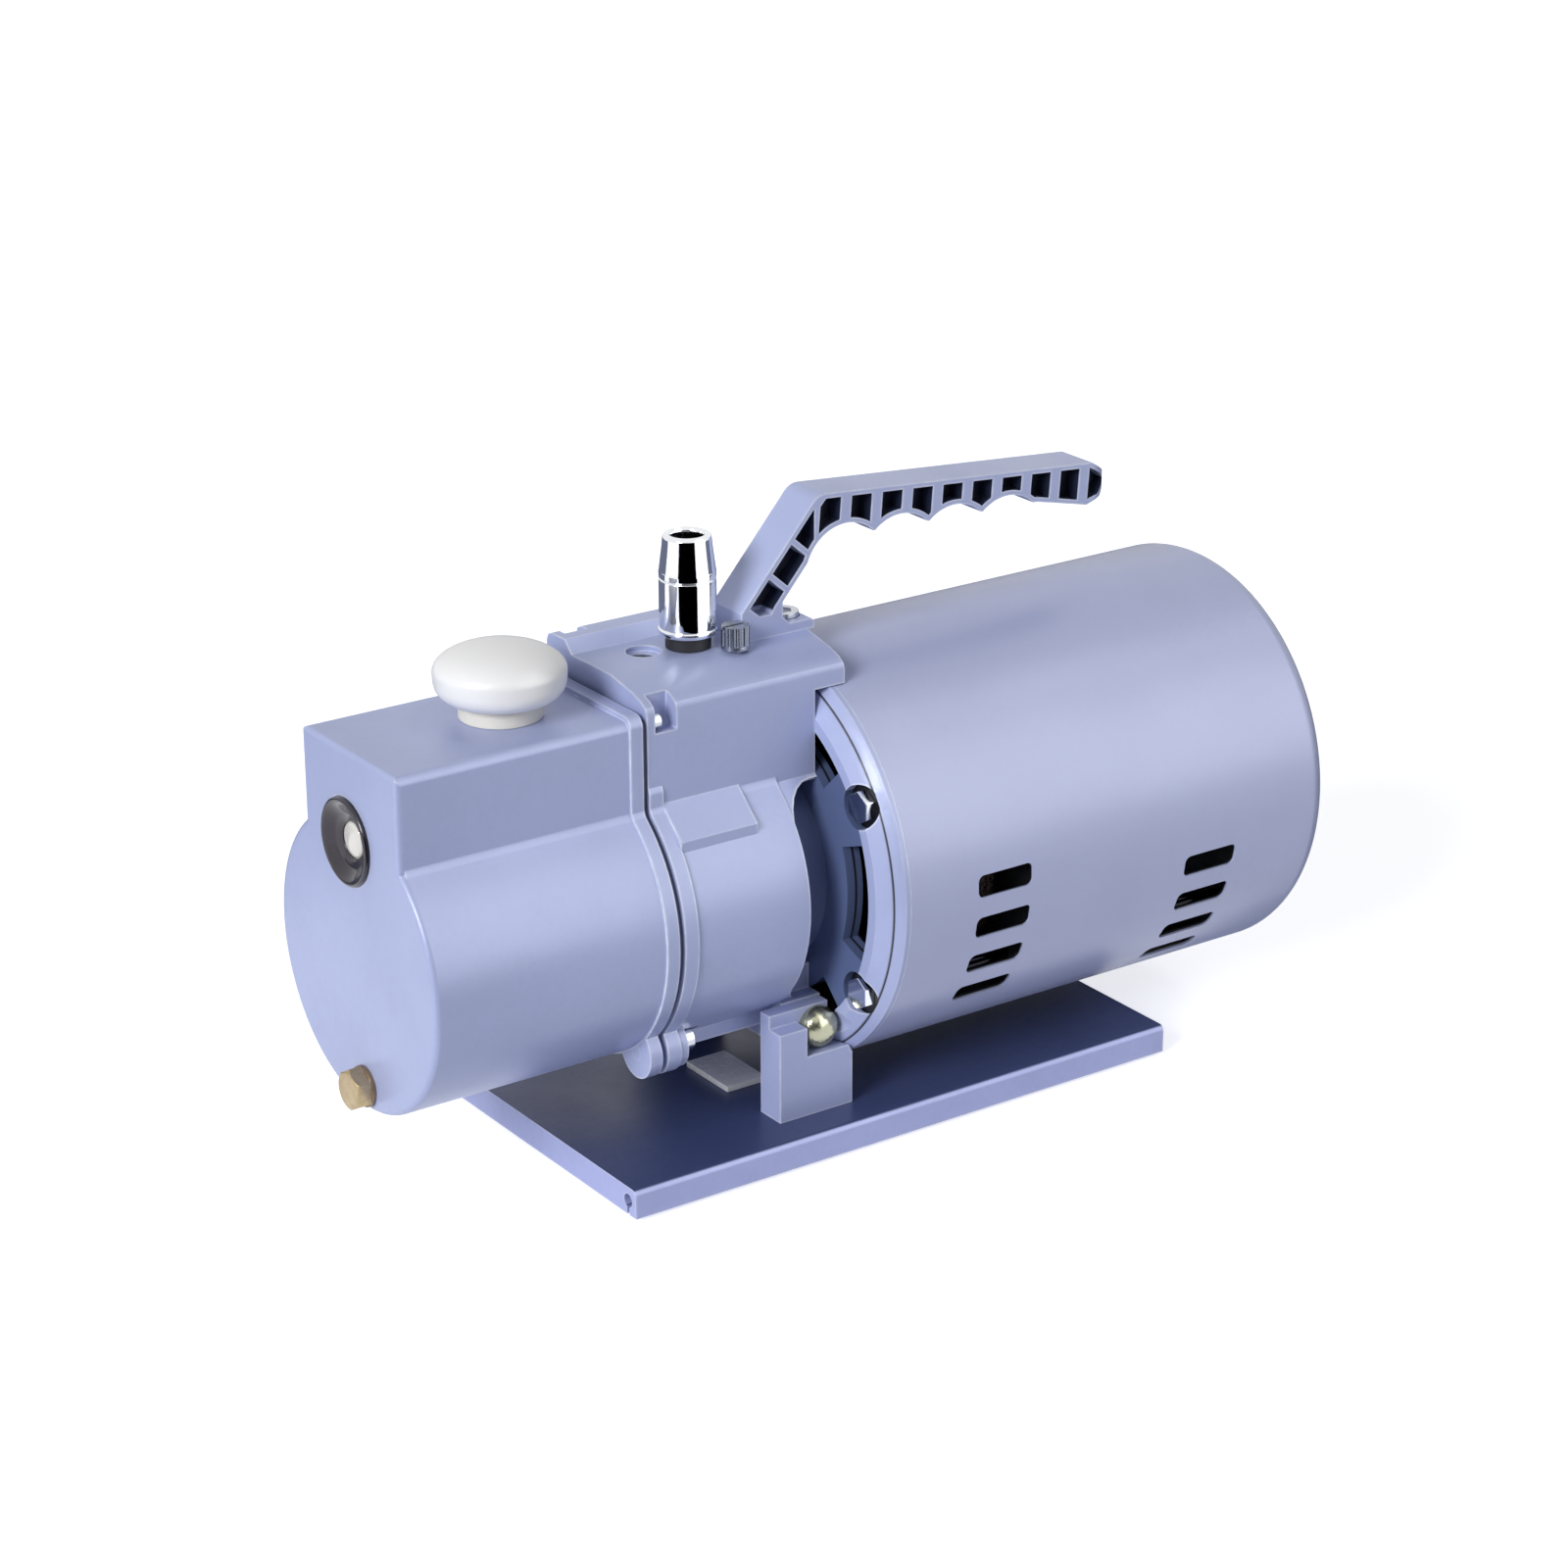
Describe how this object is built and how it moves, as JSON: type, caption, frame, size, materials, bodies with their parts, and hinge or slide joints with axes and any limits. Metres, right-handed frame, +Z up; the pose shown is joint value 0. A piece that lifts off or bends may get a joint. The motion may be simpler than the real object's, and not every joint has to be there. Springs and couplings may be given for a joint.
{
  "type": "vacuum pump",
  "caption": "Direct-drive oil-sealed rotary vane vacuum pump with a round motor, finger-grip handle, hose nipple and exhaust cap on a flat base plate.",
  "frame": {"origin": "centre of the bounding box, on the surface that the feet stand on", "axes": "+X along the shaft from the oil case towards the motor, +Z up, -Y the side that the picture shows"},
  "size_m": [0.34, 0.138, 0.2034],
  "materials": {
    "silver_paint": "satin",
    "plate_aluminium": "satin",
    "bright_aluminium": "polished",
    "bare_aluminium": "satin",
    "zinc_steel": "satin",
    "olive_zinc": "satin",
    "black_steel": "satin",
    "ground_steel": "polished",
    "machined_iron": "satin",
    "core_steel": "matt",
    "chrome": "polished",
    "brass": "satin",
    "bronze": "satin",
    "copper": "satin",
    "black_rubber": "matt",
    "red_rubber": "matt",
    "black_plastic": "matt",
    "red_plastic": "gloss",
    "ivory_plastic": "matt",
    "white_plastic": "matt",
    "filter_mesh": "matt",
    "clear_glass": "polished"
  },
  "bodies": {
    "pump_frame": {"base_plate": "plate_aluminium", "base_feet": "black_rubber", "base_strip": "bright_aluminium", "foot_blocks": "silver_paint", "foot_block_screws": "zinc_steel", "foot_bolts": "olive_zinc", "oil_case": "silver_paint", "case_gasket": "black_rubber", "case_screws": "zinc_steel", "sight_glass_bezel": "black_plastic", "sight_glass_lens": "clear_glass", "sight_glass_seal": "black_rubber", "drain_plug": "brass", "drain_washer": "copper", "exhaust_port": "ivory_plastic", "exhaust_filter": "filter_mesh", "pump_housing": "silver_paint", "front_plate": "machined_iron", "pump_cylinder": "machined_iron", "rear_plate": "machined_iron", "cylinder_screws": "zinc_steel", "pump_bushes": "bronze", "pump_bearing": "zinc_steel", "shaft_seal": "black_rubber", "exhaust_reed": "ground_steel", "reed_stop": "ground_steel", "reed_screws": "zinc_steel", "inlet_nipple": "chrome", "nipple_seal": "black_rubber", "inlet_strainer": "ground_steel", "channel_plug": "black_steel", "handle": "silver_paint", "handle_bolt": "zinc_steel", "bracket_screws": "black_steel", "front_shield": "silver_paint", "motor_cover": "silver_paint", "cover_screws": "zinc_steel", "stator_core": "core_steel", "windings": "copper", "front_motor_bearing": "zinc_steel", "rear_motor_bearing": "zinc_steel", "rear_shield": "bare_aluminium", "tie_bolts": "zinc_steel", "cable_gland": "black_plastic", "switch_body": "black_plastic"},
    "motor_rotor": {"motor_shaft": "ground_steel", "rotor_core": "core_steel", "cooling_fan": "black_plastic", "motor_coupling_hub": "bare_aluminium", "motor_hub_screw": "black_steel"},
    "works_rotor": {"pump_rotor": "ground_steel", "vane_springs": "ground_steel", "pump_coupling_hub": "bare_aluminium", "pump_hub_screw": "black_steel", "coupling_spider": "red_rubber"},
    "first_vane": {"vane_a": "black_plastic"},
    "second_vane": {"vane_b": "black_plastic"},
    "breather_cap": {"exhaust_cap": "white_plastic"},
    "ballast_valve": {"ballast_knob": "chrome"},
    "power_rocker": {"switch_rocker": "red_plastic"}
  },
  "joints": [
    {"name": "motor_spin", "type": "hinge", "parent": "pump_frame", "child": "motor_rotor", "pos_m": [0.0765, 0, 0.085], "axis": [1, 0, 0], "continuous": true},
    {"name": "pump_spin", "type": "hinge", "parent": "pump_frame", "child": "works_rotor", "pos_m": [-0.1035, 0, 0.085], "axis": [1, 0, 0], "continuous": true},
    {"name": "first_vane_slide", "type": "slide", "parent": "works_rotor", "child": "first_vane", "axis": [0, -1, 0], "range_m": [0, 0.003]},
    {"name": "second_vane_slide", "type": "slide", "parent": "works_rotor", "child": "second_vane", "axis": [0, 1, 0], "range_m": [0, 0.003]},
    {"name": "exhaust_cap_lift", "type": "slide", "parent": "pump_frame", "child": "breather_cap", "axis": [0, 0, 1], "range_m": [0, 0.016]},
    {"name": "ballast_turn", "type": "hinge", "parent": "pump_frame", "child": "ballast_valve", "pos_m": [-0.032, -0.0106, 0.163], "axis": [0, 0, 1], "range_deg": [0, 360]},
    {"name": "power_rock", "type": "hinge", "parent": "pump_frame", "child": "power_rocker", "pos_m": [0.1645, 0, 0.137], "axis": [0, -1, 0], "range_deg": [0, 14]}
  ],
  "couplings": [
    {"joint": "pump_spin", "follows": "motor_spin", "ratio": 1}
  ]
}
